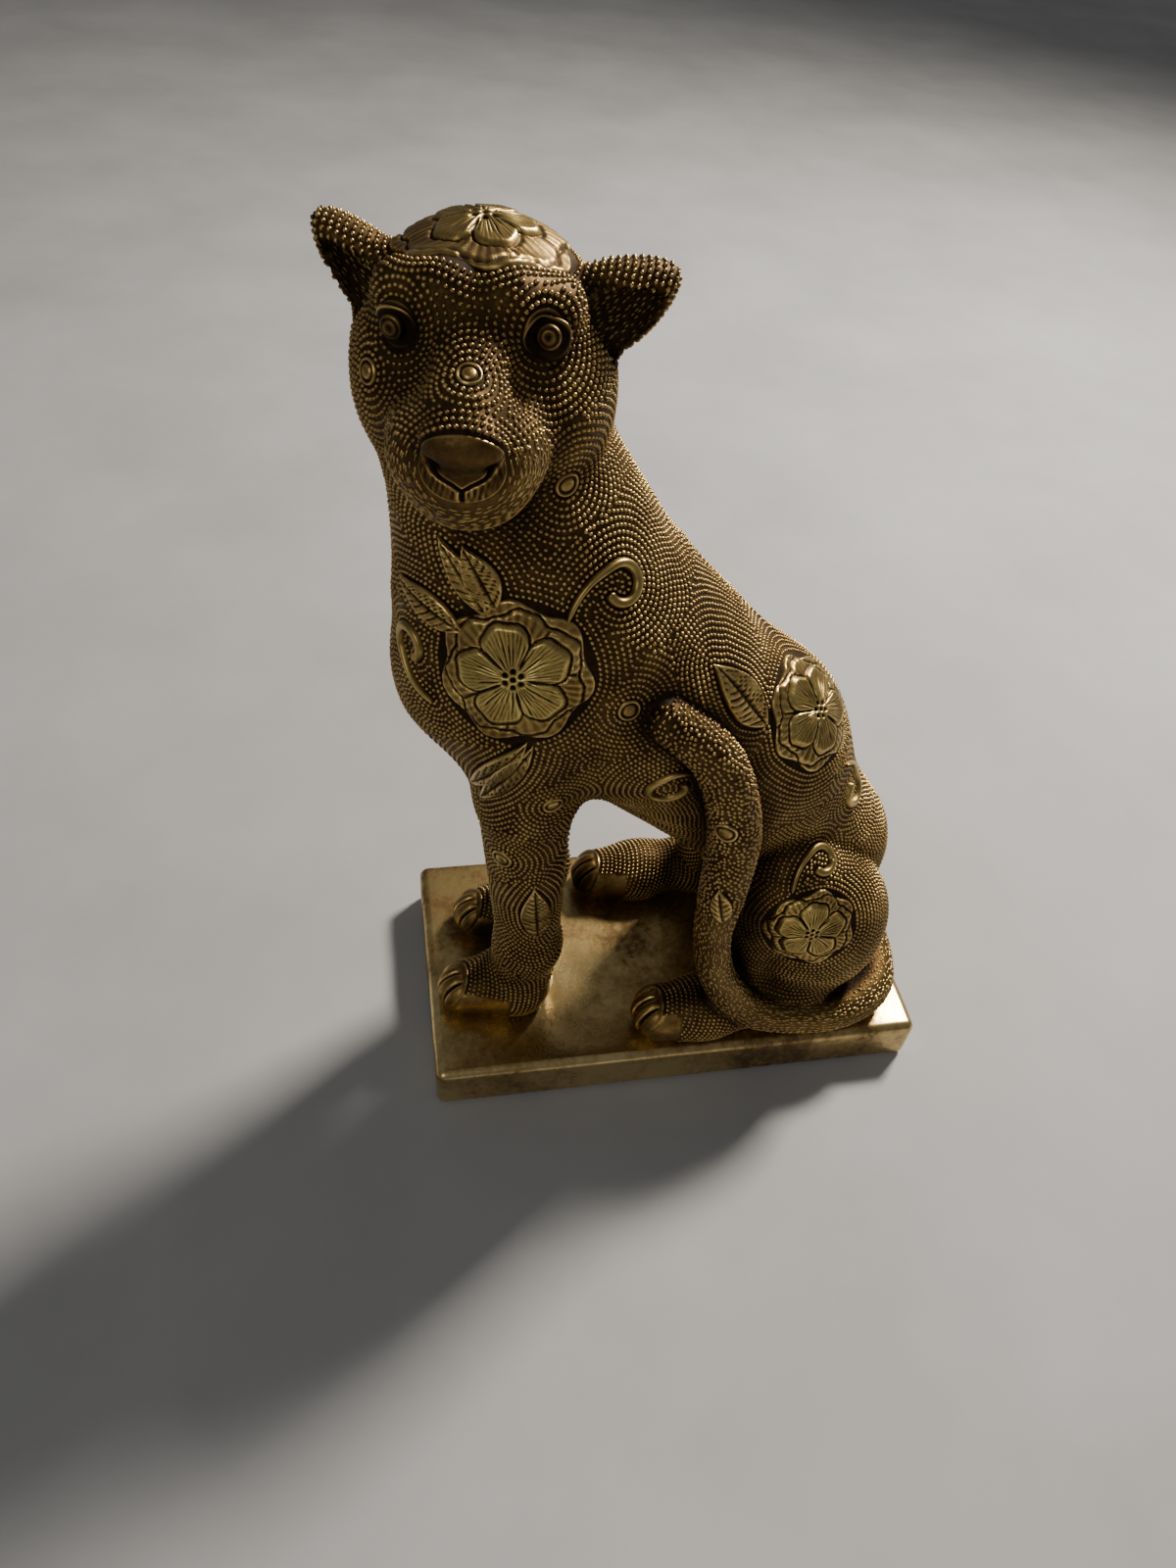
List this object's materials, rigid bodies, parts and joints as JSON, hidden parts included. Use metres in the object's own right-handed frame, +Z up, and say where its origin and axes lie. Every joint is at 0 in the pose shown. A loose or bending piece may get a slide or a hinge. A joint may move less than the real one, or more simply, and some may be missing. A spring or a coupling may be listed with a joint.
{
  "type": "panther figurine",
  "caption": "Seated panther figurine with its head turned to the left, covered in floral relief and beading, on a rectangular plinth.",
  "frame": {"origin": "centre of the plinth's underside", "axes": "+Z up, -Y the way the chest faces, +X the panther's left, which is the side its head is turned to"},
  "size_m": [0.077, 0.1537, 0.221],
  "materials": {
    "antique_gold_dark": "antique gold over dark brown, rubbed bright on the relief",
    "antique_gold_plain": "smooth antique gold with brown blotches"
  },
  "bodies": {
    "root": {"panther": "antique_gold_dark", "plinth": "antique_gold_plain"}
  },
  "joints": []
}
